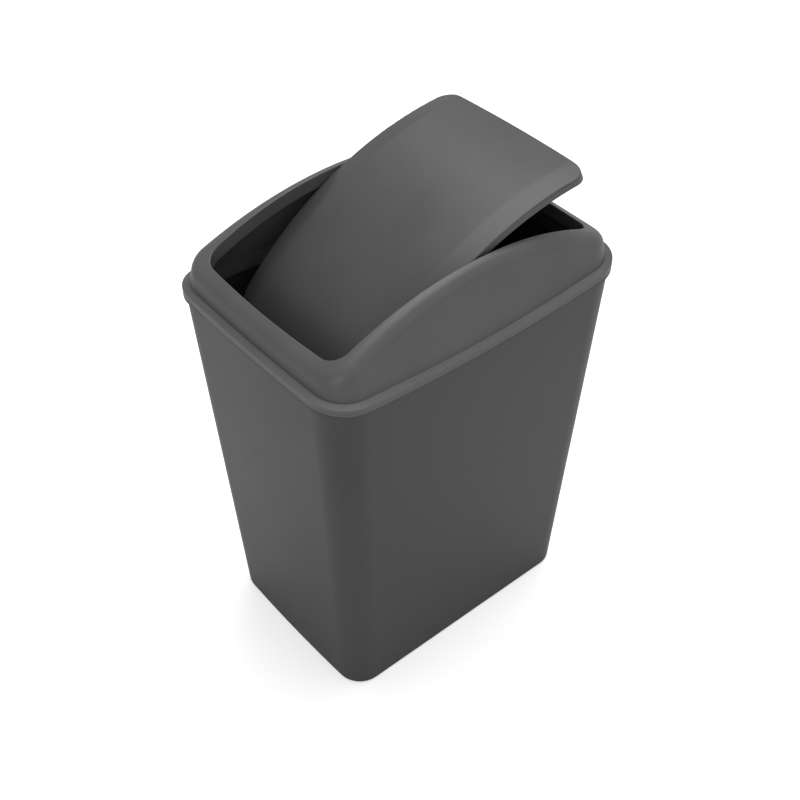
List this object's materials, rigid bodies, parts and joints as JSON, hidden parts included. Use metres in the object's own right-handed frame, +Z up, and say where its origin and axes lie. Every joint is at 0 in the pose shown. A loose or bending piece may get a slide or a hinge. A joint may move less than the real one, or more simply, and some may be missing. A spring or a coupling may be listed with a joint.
{
  "type": "swing-lid bin",
  "caption": "Tall rectangular swing-lid waste bin in matte plastic: tapered bin, lift-off arched lid surround and a free-swinging arched flap.",
  "frame": {"origin": "middle of the base, on the surface that the bin stands on", "axes": "+Z up; X along the long sides, +X towards the raised end of the open flap; Y across, along the flap's pivot"},
  "size_m": [0.34, 0.242, 0.4979],
  "materials": {
    "bin_plastic": "fine matte moulded polypropylene, anthracite",
    "lid_plastic": "fine matte moulded polypropylene, anthracite",
    "flap_plastic": "fine matte moulded polypropylene, anthracite, slightly satin"
  },
  "bodies": {
    "bin": {"bin_body": "bin_plastic"},
    "lid": {"lid_frame": "lid_plastic"},
    "flap": {"swing_flap": "flap_plastic"}
  },
  "joints": [
    {"name": "lid_lift", "type": "slide", "parent": "bin", "child": "lid", "axis": [0, 0, 1], "range_m": [0, 0.15]},
    {"name": "flap_swing", "type": "hinge", "parent": "lid", "child": "flap", "pos_m": [0, 0, 0.453], "axis": [0, -1, 0], "range_deg": [-101, 49]}
  ]
}
